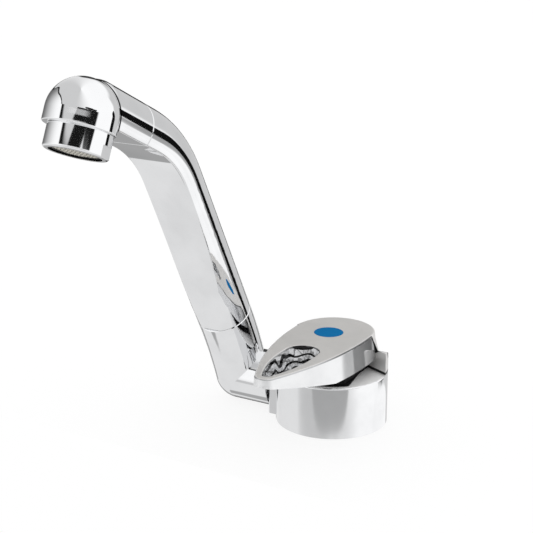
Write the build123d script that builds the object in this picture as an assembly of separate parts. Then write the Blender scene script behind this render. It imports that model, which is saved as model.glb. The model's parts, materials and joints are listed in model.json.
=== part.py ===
from build123d import *
from math import asin, cos, degrees, radians, sin, sqrt
import os

# Folding cold water tap for a caravan sink, in millimetres. The origin is on the base's axis at the
# worktop, +Z is up, the lever and the spout point to the front at -Y and the spout folds on the -X side.

# Clearances
running_gap = 0.05
seat_gap = 0.02
seam_gap = 0.1
face_gap = 0.3
overrun = 2.0

# Base casting
base_radius = 25.0
base_height = 23.5
base_edge = 0.8
pad_half_width = 12.3
pad_centre = 1.8
pad_drop = 0.5
pad_edge = 0.8
pad_top_edge = 0.4
gasket_margin = 0.8
gasket_width = 2.0
gasket_thickness = 1.5

# Shank, inlet and fixings under the worktop
shank_radius = 13.0
shank_wall = 2.5
shank_ledge = 6.0
shank_length = 48.0
deck_thickness = 20.0
deck_washer_radius = 21.0
rubber_washer_thickness = 3.0
steel_washer_thickness = 1.5
nut_across_flats = 36.0
nut_sides = 6
nut_height = 8.0
nut_corner = 2.0
inlet_flange_thickness = 2.0
inlet_pipe_radius = 6.5
inlet_pipe_bore = 4.5
socket_radius = 12.0
socket_length = 22.0
hose_radius = 6.05
hose_depth = 18.0
collet_bore_radius = 7.6
collet_depth = 8.0
collet_flange_radius = 9.2
collet_flange_thickness = 1.6
inlet_ring_thickness = 2.0

# Fold pivot between the base and the spout, its lengths listed outwards from the base's main bore
pivot_back = -0.5
spout_foot_gap = 0.6
pivot_wall = 3.1
journal_tip = 1.2
ring_width = 2.0
ring_land = 0.7
journal_groove_width = 1.8
groove_land = 0.5
bush_length = 4.6
journal_seat = 8.0
journal_radius = 8.0
journal_groove_depth = 1.6
bush_wall = 1.0
ring_depth = 1.1
ring_squeeze = 0.5
retaining_pin_radius = 0.8
retaining_pin_half_length = 8.4
stop_pin_radius = 0.8
stop_circle = 10.8
stop_pin_reach = 2.2
stop_pin_seat = 3.5
stop_pin_angle = 225.0
fold_angle = 60.0

# Spout: elbow, arm and head in one upright plane beside the base
spout_offset = 47.2
spout_radius = 12.3
arm_lean = 28.8
arm_root_back = 1.8
arm_root_rise = 1.1
head_lean = 63.7
lower_seam = 37.0
bend_start = 116.1
bend_radius = 50.0
head_straight = 8.5
flat_depth = 5.5
flat_corner = 0.9
root_flat_depth = 11.5
root_corner = 4.0
seam_edge = 0.3
waterway_radius = 4.5
waterway_back = 2.0
sleeve_outer = 6.0
sleeve_wall = 1.0
sleeve_half_length = 9.0

# Places of the arm's sections between the lower seam and the bend, with how far the flat has come in
section_place_shares = (0.0, 0.25, 0.5, 0.75, 1.0)
section_flat_shares = (0.0, 0.35, 0.71, 0.92, 1.0)

# How far the arm's foot keeps the fold pivot's offset on its way up to the lower seam
root_place_shares = (0.0, 0.33, 0.67, 1.0)
root_shift_shares = (1.0, 0.42, 0.06, 0.0)

# Where along an edge it is tested for lying in a seam
edge_shares = (0.0, 0.3, 0.7, 1.0)

# Head and aerator, measured up the outlet's axis from its mouth
head_reach = 27.7
outlet_tilt = 24.1
outlet_drop = 17.9
hood_radius = 14.1
hood_rim = 9.3
hood_crown = 15.0
hood_forward = 1.3
cap_setback = 5.0
rim_edge = 0.5
collar_radius = 12.6
collar_height = 9.2
collar_lip = 1.2
collar_lip_width = 2.3
collar_wall = 1.7
collar_edge = 1.0
flat_width = 23.8
flat_height = 4.8
flat_turn = 15.0
neck_radius = 12.0
neck_top = 15.0
mesh_thickness = 0.5
insert_top = 12.9
insert_wall = 1.2
insert_floor = 1.6
insert_holes = 6
insert_hole_radius = 1.1
washer_thickness = 2.0
washer_inner = 7.0

# Lever
lever_top = 41.7
lever_height = 11.7
lever_rest_turn = 2.5
lever_side_offset = 0.8
lever_rear = 18.3
lever_shoulder = 17.85
lever_shoulder_place = 0.4
hub_cone_top = 18.4
hub_cone_bottom = 21.2
hub_cone_top_start = 1.0
hub_slot_width = 1.1
hub_slot_radius = 17.0
hub_slot_cover = 1.0
lever_middle = 14.4
lever_middle_place = -35.0
lever_tip_half = 4.6
lever_tip_half_place = -64.6
lever_tip = -67.8
lever_draft = 4.0
lever_edge = 0.9
slope_start = -31.0
tip_height = 4.1
opening_rear = -23.6
opening_shoulder = 7.3
opening_shoulder_place = -32.0
opening_middle = 6.3
opening_middle_place = -49.0
opening_tip_half = 2.2
opening_tip_half_place = -62.2
opening_tip = -64.4
opening_draft = 11.0
opening_edge = 0.7
hub_face_inner = 8.1
hub_face_outer = 2.6
hub_face_half = 14.0
hub_tail_start = 5.0
hub_tail_height = 9.9
hub_tail_rim = 1.8
dot_radius = 6.45
dot_place = -3.9
dot_depth = 0.7
dot_crown = 0.15

# Carrier between the lever and the base, and the screw that holds the lever on the spindle
carrier_radius = 21.3
grub_radius = 2.0
grub_length = 7.0
grub_rise = 3.8

# Valve cartridge in the base and the shank, its heights listed downwards from the base's top
stem_radius = 4.0
stem_cover = 4.2
cover_recess = 0.2
cover_thickness = 1.9
cam_head_room = 0.8
cam_thickness = 2.2
cam_foot_room = 0.6
cartridge_flange_thickness = 2.3
gland_height = 2.7
cartridge_side_gap = 0.9
cartridge_low = -4.0
cavity_wall = 1.4
cavity_floor = 4.0
disc_thickness = 2.5
disc_port_radius = 2.2
disc_rim = 1.8
disc_port_turn = -90.0
foot_margin = 0.6
foot_thickness = 2.0
side_port_radius = 1.8
stem_ring_rise = 0.9
stem_ring_height = 1.0
stem_ring_width = 1.6
screw_margin = 1.8
screw_radius = 1.0
screw_head_radius = 1.6
screw_length = 5.2
seal_thickness = 1.6
seal_width = 3.3

# Switch cam, plunger and switch
cam_radius = 8.6
cam_offset = 0.8
cam_rest_angle = 45.0
plunger_radius = 1.0
plunger_depth = 2.4
plunger_bore_depth = 4.2
plunger_rise = 3.5
switch_half_width = 6.4
switch_wall = 1.1
switch_depth = 5.8
switch_height = 5.2
pocket_gap = 0.4
slot_half_width = 1.6
slot_half_height = 1.5
terminal_pitch = 4.8
terminal_width = 1.6
terminal_thickness = 0.6
terminal_length = 3.4
wire_duct_radius = 1.2
holder_low = 2.0

# Places and sizes that follow from the ones above
gasket_outer = base_radius - gasket_margin
gasket_inner = gasket_outer - gasket_width
shank_inner = shank_radius - shank_wall
main_bore_radius = shank_radius + seam_gap
cartridge_radius = shank_inner - cartridge_side_gap
cavity_radius = cartridge_radius - cavity_wall
foot_radius = cavity_radius - foot_margin
disc_port_place = cavity_radius - disc_port_radius - disc_rim
stem_ring_outer = stem_radius + stem_ring_width
cartridge_flange_radius = main_bore_radius - face_gap
screw_place = cartridge_flange_radius - screw_margin
cover_low = base_height - cover_recess - cover_thickness
cam_low = cover_low - cam_head_room - cam_thickness
cartridge_top = cam_low - cam_foot_room
cartridge_flange_low = cartridge_top - cartridge_flange_thickness
shank_top = cartridge_flange_low - shank_ledge
gland_low = cartridge_top - gland_height
side_port_height = gland_low - side_port_radius
stem_ring_low = gland_low + stem_ring_rise
stem_top = lever_top - stem_cover
plunger_height = cam_low + cam_thickness / 2
cam_reach_at_rest = cam_radius - cam_offset * sin(radians(cam_rest_angle))
switch_front = main_bore_radius + switch_wall
switch_low = plunger_height - plunger_rise
pocket_top = switch_low + switch_height + pocket_gap
pad_height = base_height - pad_drop
pivot_height = spout_radius + spout_foot_gap
journal_end = main_bore_radius + pivot_wall
journal_groove_radius = journal_radius - journal_groove_depth
ring_near = journal_end + journal_tip
journal_groove_near = ring_near + ring_width + ring_land
bush_outer = journal_radius + running_gap + bush_wall
bush_end = journal_groove_near + journal_groove_width + groove_land
pad_reach = bush_end + bush_length
elbow_face = pad_reach + face_gap
lever_bottom = lever_top - lever_height
tip_bottom = lever_top - tip_height
hub_low = base_height + face_gap
hub_tail_high = hub_low + hub_tail_height
hub_tail_low = hub_low + hub_tail_rim
grub_height = hub_low + grub_rise
sleeve_inner = sleeve_outer - sleeve_wall
collar_mouth = collar_radius - collar_lip_width
aerator_radius = collar_radius - collar_wall - running_gap
mesh_top = collar_lip + mesh_thickness
washer_bore = shank_radius + face_gap
rubber_washer_low = -deck_thickness - rubber_washer_thickness
steel_washer_low = rubber_washer_low - steel_washer_thickness
nut_low = steel_washer_low - nut_height
seal_low = cartridge_low - seal_thickness
inlet_flange_low = seal_low - inlet_flange_thickness
socket_low = -shank_length - socket_length
inlet_ring_low = socket_low + collet_depth
collet_bore_top = inlet_ring_low + inlet_ring_thickness + running_gap


def save(name, shape):
    shape.label = name
    export_step(shape, "parts/" + name + ".step")


def upright(radius, low, high, x=0.0, y=0.0):
    base = Align.CENTER, Align.CENTER, Align.MIN
    return Pos(x, y, low) * Cylinder(radius, high - low, align=base)


def ring(outer, inner, low, high, x=0.0, y=0.0):
    return upright(outer, low, high, x, y) - upright(inner, low - overrun, high + overrun, x, y)


def rod(start, end, radius):
    axis = Vector(*end) - Vector(*start)
    return extrude(Plane(origin=start, z_dir=axis) * Circle(radius), axis.length)


def along_x(radius, near, far):
    return rod((-near, pivot_back, pivot_height), (-far, pivot_back, pivot_height), radius)


def block(x_low, x_high, y_low, y_high, z_low, z_high):
    corner = Align.MIN, Align.MIN, Align.MIN
    size = Box(x_high - x_low, y_high - y_low, z_high - z_low, align=corner)
    return Pos(x_low, y_low, z_low) * size


def turned(shape):
    return Rot(0.0, 0.0, lever_rest_turn) * shape


# Directions in the spout's plane
arm_up = Vector(0.0, -sin(radians(arm_lean)), cos(radians(arm_lean)))
arm_back = Vector(0.0, cos(radians(arm_lean)), sin(radians(arm_lean)))
head_up = Vector(0.0, -sin(radians(head_lean)), cos(radians(head_lean)))
head_back = Vector(0.0, cos(radians(head_lean)), sin(radians(head_lean)))
outlet_up = Vector(0.0, sin(radians(outlet_tilt)), cos(radians(outlet_tilt)))
side = Vector(1.0, 0.0, 0.0)

corner_point = Vector(-spout_offset, pivot_back, pivot_height)
arm_root = Vector(-spout_offset, arm_root_back, pivot_height + arm_root_rise)
root_shift = (corner_point - arm_root).dot(arm_back)
bend_point = arm_root + arm_up * bend_start
bend_centre = bend_point - arm_back * bend_radius
head_seam_point = bend_centre + head_back * bend_radius + head_up * head_straight
head_point = head_seam_point + head_up * head_reach
mouth_point = head_point - outlet_up * outlet_drop
mouth_plane = Plane(origin=mouth_point, x_dir=side, z_dir=outlet_up)


def arm_plane(place):
    return Plane(origin=arm_root + arm_up * place, x_dir=side, z_dir=arm_up)


def head_plane(place):
    return Plane(origin=head_seam_point + head_up * place, x_dir=side, z_dir=head_up)


def spout_section(depth, corner):
    half = sqrt(spout_radius**2 - depth**2)
    back = ThreePointArc((-half, -depth), (0.0, spout_radius), (half, -depth))
    face = make_face(Curve() + [back, Line((half, -depth), (-half, -depth))])
    return fillet(face.vertices(), corner)


# Base and what is fixed in it

def make_base():
    body = upright(base_radius, 0.0, base_height)
    pad = block(
        -pad_reach, 0.0, pad_centre - pad_half_width, pad_centre + pad_half_width, 0.0, pad_height
    )
    pad = fillet(pad.edges().filter_by(Axis.Z).group_by(Axis.X)[0], pad_edge)
    pad = chamfer(pad.faces().sort_by(Axis.Z)[-1].edges(), pad_top_edge)
    wide = base_radius + overrun
    body = fillet(body.edges().group_by(Axis.Z)[-1], base_edge)
    body = (body & block(-pad_reach, wide, -wide, wide, 0.0, base_height)) + pad
    body -= upright(shank_radius + running_gap, -overrun, shank_top + seam_gap)
    body -= upright(cartridge_radius + running_gap, 0.0, cartridge_flange_low + seam_gap)
    body -= upright(main_bore_radius, cartridge_flange_low, base_height + overrun)
    body -= ring(gasket_outer + running_gap, gasket_inner - running_gap, -overrun, gasket_thickness)
    body -= along_x(bush_outer + seat_gap, bush_end - seam_gap, pad_reach + overrun)
    body -= along_x(journal_radius + ring_squeeze + running_gap, journal_end - face_gap, pad_reach)
    body -= rod(
        (0.0, pivot_back, side_port_height), (-journal_end, pivot_back, side_port_height),
        side_port_radius
    )
    body -= retaining_pin(seat_gap, overrun + spout_radius)
    body -= stop_pin(seat_gap, overrun)
    body -= switch_pocket()
    for place in (-screw_place, screw_place):
        low = cartridge_top - screw_length - face_gap
        body -= upright(screw_radius + seat_gap, low, cartridge_top, 0.0, place)
    return body


def retaining_pin(extra=0.0, longer=0.0):
    place = journal_groove_near + journal_groove_width / 2
    height = pivot_height - journal_groove_radius - running_gap - retaining_pin_radius
    front = pivot_back - retaining_pin_half_length - extra
    back = pivot_back + retaining_pin_half_length + longer
    return rod((-place, front, height), (-place, back, height), retaining_pin_radius + extra)


def stop_pin(extra=0.0, longer=0.0):
    turn = radians(stop_pin_angle)
    y = pivot_back + stop_circle * cos(turn)
    z = pivot_height + stop_circle * sin(turn)
    inner = -pad_reach + stop_pin_seat + extra
    return rod((inner, y, z), (-pad_reach - stop_pin_reach - longer, y, z), stop_pin_radius + extra)


def switch_pocket():
    half = switch_half_width + pocket_gap
    front = switch_front - pocket_gap
    back = switch_front + switch_depth + pocket_gap
    pocket = block(-half, half, front, back, -overrun, pocket_top)
    slot = block(
        -slot_half_width, slot_half_width, cam_radius, front + overrun,
        plunger_height - slot_half_height, plunger_height + slot_half_height
    )
    return pocket + slot


def make_pivot_bush():
    return along_x(bush_outer, bush_end, pad_reach) - along_x(
        journal_radius + running_gap, bush_end - overrun, pad_reach + overrun
    )


# Valve cartridge

def make_cartridge_body():
    body = upright(cartridge_radius, cartridge_low, cartridge_flange_low)
    body += upright(cartridge_flange_radius, cartridge_flange_low, cartridge_top)
    body -= upright(cavity_radius, cavity_floor, cartridge_top + overrun)
    body -= upright(disc_port_radius, cartridge_low - overrun, cavity_floor, 0.0, -disc_port_place)
    body -= rod(
        (0.0, pivot_back, side_port_height), (-cartridge_flange_radius, pivot_back, side_port_height),
        side_port_radius
    )
    for place in (-screw_place, screw_place):
        body -= screw_space(place, seat_gap)
    return body


def screw_space(place, extra=0.0):
    low = cartridge_top - screw_length - extra
    shaft = upright(screw_radius + extra, low, cartridge_top, 0.0, place)
    head_depth = screw_head_radius - screw_radius
    base = Align.CENTER, Align.CENTER, Align.MAX
    head = Cone(screw_radius + extra, screw_head_radius + extra, head_depth, align=base)
    return shaft + Pos(0.0, place, cartridge_top) * head


def make_disc(low, port_turn):
    disc = upright(cavity_radius - running_gap, low, low + disc_thickness)
    port = upright(disc_port_radius, low - overrun, low + disc_thickness + overrun, 0.0, -disc_port_place)
    return disc - Rot(0.0, 0.0, port_turn) * port


def make_cartridge_seal():
    outer = cartridge_radius - seam_gap
    return ring(outer, outer - seal_width, seal_low, cartridge_low)


def make_stem_ring():
    top = stem_ring_low + stem_ring_height
    return ring(stem_ring_outer, stem_radius + running_gap, stem_ring_low, top)


def make_bore_cover():
    top = cover_low + cover_thickness
    return ring(main_bore_radius - seat_gap, stem_radius + face_gap, cover_low, top)


def make_gland():
    gland = ring(cavity_radius - seat_gap, stem_radius + running_gap, gland_low, cartridge_top)
    return gland - upright(
        stem_ring_outer + seat_gap, stem_ring_low - seat_gap, stem_ring_low + stem_ring_height + seat_gap
    )


def make_spindle():
    foot_low = cavity_floor + 2 * disc_thickness + running_gap
    foot = upright(foot_radius, foot_low, foot_low + foot_thickness)
    foot -= upright(
        disc_port_radius, foot_low - overrun, foot_low + foot_thickness + overrun, -disc_port_place
    )
    return foot + upright(stem_radius, foot_low, stem_top)


def make_cam():
    turn = radians(-cam_rest_angle)
    cam = upright(
        cam_radius, cam_low, cam_low + cam_thickness, cam_offset * cos(turn), cam_offset * sin(turn)
    )
    return cam - upright(stem_radius + seat_gap, cam_low - overrun, cam_low + cam_thickness + overrun)


# Switch

def make_plunger():
    front = cam_reach_at_rest + face_gap
    back = switch_front + plunger_depth
    return rod((0.0, front, plunger_height), (0.0, back, plunger_height), plunger_radius)


def make_switch_body():
    body = block(
        -switch_half_width, switch_half_width, switch_front, switch_front + switch_depth,
        switch_low, switch_low + switch_height
    )
    bore_start = (0.0, switch_front - overrun, plunger_height)
    bore_end = (0.0, switch_front + plunger_bore_depth, plunger_height)
    return body - rod(bore_start, bore_end, plunger_radius + running_gap)


def terminal_places():
    return (-terminal_pitch, 0.0, terminal_pitch)


def make_terminal(place):
    middle = switch_front + switch_depth / 2
    return block(
        place - terminal_width / 2, place + terminal_width / 2,
        middle - terminal_thickness / 2, middle + terminal_thickness / 2,
        switch_low - terminal_length, switch_low
    )


def make_switch_holder():
    gap = pocket_gap - running_gap
    holder = block(
        -switch_half_width - gap, switch_half_width + gap, switch_front - gap,
        switch_front + switch_depth + gap, holder_low, switch_low
    )
    middle = switch_front + switch_depth / 2
    for place in terminal_places():
        holder -= upright(wire_duct_radius, holder_low - overrun, switch_low + overrun, place, middle)
    return holder


# Shank, inlet and fixings

def make_shank():
    return ring(shank_radius, shank_inner, -shank_length, shank_top)


def make_nut():
    half = nut_across_flats / 2
    nut = extrude(RegularPolygon(half, nut_sides, major_radius=False), nut_height)
    nut = Pos(0.0, 0.0, nut_low) * nut
    nut &= upright(half + nut_corner, nut_low, nut_low + nut_height)
    return nut - upright(shank_radius + running_gap, nut_low - overrun, overrun)


def make_inlet_coupling():
    body = upright(shank_inner - running_gap, inlet_flange_low, seal_low)
    body += upright(inlet_pipe_radius, -shank_length, inlet_flange_low)
    body += upright(socket_radius, socket_low, -shank_length)
    body -= upright(inlet_pipe_bore, socket_low, overrun)
    body -= upright(hose_radius, socket_low - overrun, socket_low + hose_depth)
    body -= upright(collet_bore_radius, socket_low - overrun, collet_bore_top)
    return body


def make_collet():
    sleeve = upright(collet_bore_radius - running_gap, socket_low, socket_low + collet_depth)
    flange = upright(collet_flange_radius, socket_low - collet_flange_thickness, socket_low)
    bore_low = socket_low - collet_flange_thickness - overrun
    return sleeve + flange - upright(hose_radius, bore_low, 0.0)


def make_inlet_ring():
    top = inlet_ring_low + inlet_ring_thickness
    return ring(collet_bore_radius - seat_gap, hose_radius, inlet_ring_low, top)


# Lever

def teardrop(rear, shoulder, shoulder_place, middle, middle_place, tip_half, tip_half_place, tip):
    back = ThreePointArc((-shoulder, shoulder_place), (0.0, rear), (shoulder, shoulder_place))
    right = ThreePointArc(
        (shoulder, shoulder_place), (middle, middle_place), (tip_half, tip_half_place)
    )
    front = ThreePointArc((tip_half, tip_half_place), (0.0, tip), (-tip_half, tip_half_place))
    left = ThreePointArc(
        (-tip_half, tip_half_place), (-middle, middle_place), (-shoulder, shoulder_place)
    )
    return make_face(Curve() + [back, right, front, left])


def make_lever_plate():
    outline = teardrop(
        lever_rear, lever_shoulder, lever_shoulder_place, lever_middle, lever_middle_place,
        lever_tip_half, lever_tip_half_place, lever_tip
    )
    depth = lever_top - lever_bottom
    plate = extrude(Pos(0.0, 0.0, lever_top) * outline, -depth, taper=-lever_draft)
    plate = fillet(plate.edges().group_by(Axis.Z)[-1], lever_edge)
    low = lever_bottom - overrun
    far = lever_tip - overrun
    slope = (tip_bottom - lever_bottom) / (lever_tip - slope_start)
    plate -= lengthwise((
        (slope_start, lever_bottom), (far, lever_bottom + slope * (far - slope_start)),
        (far, low), (slope_start, low)
    ))
    opening = teardrop(
        opening_rear, opening_shoulder, opening_shoulder_place, opening_middle, opening_middle_place,
        opening_tip_half, opening_tip_half_place, opening_tip
    )
    plate -= extrude(Pos(0.0, 0.0, lever_top) * opening, -depth - overrun, taper=opening_draft)
    inner_rim = plate.faces().sort_by(Axis.Z)[-1].inner_wires()[0]
    plate = fillet(inner_rim.edges(), opening_edge)
    return Pos(lever_side_offset, 0.0, 0.0) * plate


def lengthwise(points):
    wide = base_radius + overrun
    across = Plane(origin=(-wide, 0.0, 0.0), x_dir=(0.0, 1.0, 0.0), z_dir=side)
    return extrude(across * make_face(Polyline(points, close=True)), 2 * wide)


def make_hub_cone():
    base = Align.CENTER, Align.CENTER, Align.MIN
    height = lever_top - lever_edge - lever_bottom
    cone = Pos(0.0, 0.0, lever_bottom) * Cone(hub_cone_bottom, hub_cone_top, height, align=base)
    return cone & lengthwise((
        (hub_face_inner, lever_bottom), (hub_cone_top_start, lever_top),
        (base_radius, lever_top), (base_radius, lever_bottom)
    ))


def hub_slot():
    fall = (hub_face_inner - hub_cone_top_start) / (lever_top - lever_bottom)
    top = lever_top - hub_slot_cover
    top_start = hub_cone_top_start + fall * hub_slot_cover
    low = lever_bottom - overrun
    low_start = hub_face_inner + fall * overrun
    slab = lengthwise((
        (low_start, low), (top_start, top), (top_start - hub_slot_width, top),
        (low_start - hub_slot_width, low)
    ))
    return slab & ring(base_radius, hub_slot_radius, low, lever_top)


def make_lever():
    plate = make_lever_plate() - hub_slot() + make_hub_cone()
    block_shape = upright(base_radius, hub_low, hub_tail_high)
    slant = (hub_face_outer - hub_face_inner) / (base_radius - hub_face_half)
    wide = base_radius + overrun
    edge_place = hub_face_inner + slant * (wide - hub_face_half)
    keep = make_face(Polyline(
        (-wide, edge_place), (-hub_face_half, hub_face_inner), (hub_face_half, hub_face_inner),
        (wide, edge_place), (wide, wide), (-wide, wide), close=True
    ))
    block_shape &= extrude(Pos(0.0, 0.0, hub_low) * keep, hub_tail_high - hub_low)
    fall = (hub_tail_high - hub_tail_low) / (base_radius - hub_tail_start)
    block_shape -= lengthwise((
        (hub_tail_start, hub_tail_high), (wide, hub_tail_high - fall * (wide - hub_tail_start)),
        (wide, hub_tail_high + overrun), (hub_tail_start, hub_tail_high + overrun)
    ))
    lever = plate + block_shape
    lever -= upright(stem_radius + seat_gap, 0.0, stem_top + seam_gap)
    lever -= Pos(0.0, dot_place, 0.0) * upright(
        dot_radius + running_gap, lever_top - dot_depth, lever_top + overrun
    )
    lever -= rod((0.0, 0.0, grub_height), (0.0, wide, grub_height), grub_radius + seat_gap)
    return turned(lever)


def make_dot():
    dot = upright(dot_radius, lever_top - dot_depth, lever_top + dot_crown)
    dot = chamfer(dot.edges().group_by(Axis.Z)[-1], dot_crown)
    return turned(Pos(0.0, dot_place, 0.0) * dot)


def make_carrier():
    half = hub_face_half - running_gap
    back = hub_face_inner - running_gap
    disc = upright(carrier_radius, hub_low, lever_bottom)
    disc &= block(-half, half, -base_radius, back, hub_low, lever_bottom)
    disc -= upright(stem_radius + seat_gap, 0.0, lever_top)
    disc -= rod((0.0, 0.0, grub_height), (0.0, base_radius, grub_height), grub_radius + running_gap)
    return turned(disc)


def make_grub():
    return turned(rod((0.0, stem_radius + running_gap, grub_height),
                      (0.0, stem_radius + grub_length, grub_height), grub_radius))


# Spout

def seam_bevelled(body, seam):
    rim = [edge for edge in body.edges() if all(
        abs((edge.position_at(share) - seam.origin).dot(seam.z_dir)) < seat_gap
        for share in edge_shares
    )]
    return chamfer(rim, seam_edge)


def make_elbow():
    body = along_x(spout_radius, elbow_face, spout_offset)
    body += Pos(*corner_point) * Sphere(spout_radius)
    seam_place = lower_seam - seam_gap / 2
    seam_point = arm_root + arm_up * seam_place
    sections = []
    for place, share in zip(root_place_shares, root_shift_shares):
        middle = arm_root + arm_up * (place * seam_place) + arm_back * (share * root_shift)
        radius = spout_radius - share * seat_gap
        sections.append(Plane(origin=middle, x_dir=side, z_dir=arm_up) * Circle(radius))
    body += loft(sections)
    body = seam_bevelled(body, arm_plane(seam_place))
    body -= along_x(journal_radius + seat_gap, elbow_face - overrun, elbow_face + journal_seat)
    body -= along_x(waterway_radius, elbow_face, spout_offset)
    body -= Pos(*arm_root) * Sphere(waterway_radius)
    body -= rod(tuple(arm_root), tuple(seam_point + arm_up * overrun), waterway_radius)
    sleeve_start = arm_root + arm_up * (lower_seam - sleeve_half_length - seam_gap)
    body -= rod(tuple(sleeve_start), tuple(seam_point + arm_up * overrun), sleeve_outer + seat_gap)
    return body - stop_slot()


def make_journal():
    body = along_x(journal_radius, journal_end, elbow_face + journal_seat)
    groove_far = journal_groove_near + journal_groove_width
    groove = along_x(journal_radius + overrun, journal_groove_near, groove_far)
    body -= groove - along_x(journal_groove_radius, 0.0, pad_reach)
    ring_seat = along_x(journal_radius + overrun, ring_near, ring_near + ring_width)
    body -= ring_seat - along_x(journal_radius - ring_depth, 0.0, pad_reach)
    return body - along_x(waterway_radius, 0.0, spout_offset)


def stop_slot():
    margin = degrees(asin((stop_pin_radius + seam_gap) / stop_circle))
    span = fold_angle + 2 * margin
    wide = stop_pin_radius + seam_gap
    depth = stop_pin_reach + seam_gap
    base = Align.NONE, Align.NONE, Align.MIN
    sector = Cylinder(stop_circle + wide, depth, arc_size=span, align=base)
    sector -= Cylinder(stop_circle - wide, depth, arc_size=360.0, align=base)
    start = Plane(
        origin=(-elbow_face, pivot_back, pivot_height),
        x_dir=(0.0, cos(radians(stop_pin_angle + margin)), sin(radians(stop_pin_angle + margin))),
        z_dir=(-1.0, 0.0, 0.0)
    )
    return start * sector


def make_pivot_ring():
    return along_x(journal_radius + ring_squeeze, ring_near + running_gap,
                   ring_near + ring_width - running_gap) - along_x(
        journal_radius - ring_depth + seat_gap, 0.0, pad_reach)


def make_arm():
    sections = []
    start = lower_seam + seam_gap / 2
    for place, share in zip(section_place_shares, section_flat_shares):
        depth = root_flat_depth + share * (flat_depth - root_flat_depth)
        corner = root_corner + share * (flat_corner - root_corner)
        at = start + place * (bend_start - start)
        sections.append(arm_plane(at) * spout_section(depth, corner))
    body = loft(sections)
    bend_axis = Axis(bend_centre, side)
    turn = head_lean - arm_lean
    body += revolve(arm_plane(bend_start) * spout_section(flat_depth, flat_corner), bend_axis, turn)
    length = head_straight - seam_gap / 2
    body += extrude(head_plane(-head_straight) * spout_section(flat_depth, flat_corner), length)
    body = seam_bevelled(body, arm_plane(start))
    body = seam_bevelled(body, head_plane(-seam_gap / 2))
    waterway_start = arm_root + arm_up * (start - overrun)
    waterway_turn = bend_point + arm_back * waterway_back
    body -= rod(tuple(waterway_start), tuple(waterway_turn), waterway_radius)
    body -= Pos(*waterway_turn) * Sphere(waterway_radius)
    hole = arm_plane(bend_start) * Pos(0.0, waterway_back) * Circle(waterway_radius)
    body -= revolve(hole, bend_axis, turn)
    sleeve_end = arm_root + arm_up * (lower_seam + sleeve_half_length + seam_gap)
    body -= rod(tuple(waterway_start), tuple(sleeve_end), sleeve_outer + seat_gap)
    body -= upper_sleeve_space()
    return body


def upper_sleeve_space():
    middle = head_seam_point + head_back * waterway_back
    reach = sleeve_half_length + seam_gap
    return rod(tuple(middle - head_up * reach), tuple(middle + head_up * reach), sleeve_outer + seat_gap)


def make_lower_sleeve():
    middle = arm_root + arm_up * lower_seam
    ends = tuple(middle - arm_up * sleeve_half_length), tuple(middle + arm_up * sleeve_half_length)
    return rod(*ends, sleeve_outer) - rod(*ends, sleeve_inner)


def make_upper_sleeve():
    middle = head_seam_point + head_back * waterway_back
    ends = tuple(middle - head_up * sleeve_half_length), tuple(middle + head_up * sleeve_half_length)
    return rod(*ends, sleeve_outer) - rod(*ends, sleeve_inner)


def make_head():
    start = head_plane(seam_gap / 2)
    tube = start * spout_section(flat_depth, flat_corner)
    length = head_reach - cap_setback
    cap_point = head_seam_point + head_up * length
    round_end = Pos(*cap_point) * Sphere(spout_radius + running_gap)
    round_end += rod(tuple(head_seam_point), tuple(cap_point), spout_radius + running_gap)
    body = seam_bevelled(extrude(tube, head_reach + spout_radius) & round_end, start)
    hood = upright(hood_radius, hood_rim, hood_crown)
    hood = fillet(hood.edges().group_by(Axis.Z)[0], rim_edge)
    crown = Pos(0.0, 0.0, hood_crown) * Sphere(hood_radius)
    hood += crown & upright(hood_radius, hood_crown, hood_crown + hood_radius)
    body += mouth_plane * Pos(0.0, -hood_forward, 0.0) * hood
    body -= mouth_plane * upright(neck_radius + running_gap, 0.0, neck_top + seam_gap)
    middle = head_point + head_back * waterway_back
    waterway_start = head_seam_point + head_back * waterway_back - head_up * overrun
    body -= rod(tuple(waterway_start), tuple(middle), waterway_radius)
    body -= mouth_plane * upright(washer_inner, hood_rim, outlet_drop + waterway_back)
    return body - upper_sleeve_space()


def make_collar():
    body = upright(collar_radius, 0.0, collar_height)
    body = fillet(body.edges().group_by(Axis.Z)[0], collar_edge)
    body += upright(neck_radius, collar_height, neck_top)
    body -= upright(collar_radius - collar_wall, collar_lip, neck_top + overrun)
    body -= upright(collar_mouth, -overrun, neck_top)
    for x_low, x_high in ((flat_width / 2, base_radius), (-base_radius, -flat_width / 2)):
        flat = block(x_low, x_high, -base_radius, base_radius, -overrun, flat_height)
        body -= Rot(0.0, 0.0, flat_turn) * flat
    return mouth_plane * body


def make_mesh():
    return mouth_plane * upright(aerator_radius, collar_lip + seat_gap, mesh_top)


def make_insert():
    body = upright(aerator_radius, mesh_top + seat_gap, insert_top)
    body -= upright(aerator_radius - insert_wall, mesh_top - overrun, insert_top - insert_floor)
    hole = upright(insert_hole_radius, 0.0, insert_top + overrun)
    circle = washer_inner - insert_wall - insert_hole_radius
    for spot in PolarLocations(circle, insert_holes).locations:
        body -= spot * hole
    return mouth_plane * body


def make_aerator_washer():
    top = insert_top + washer_thickness
    return mouth_plane * ring(aerator_radius, washer_inner, insert_top + seat_gap, top)


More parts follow.
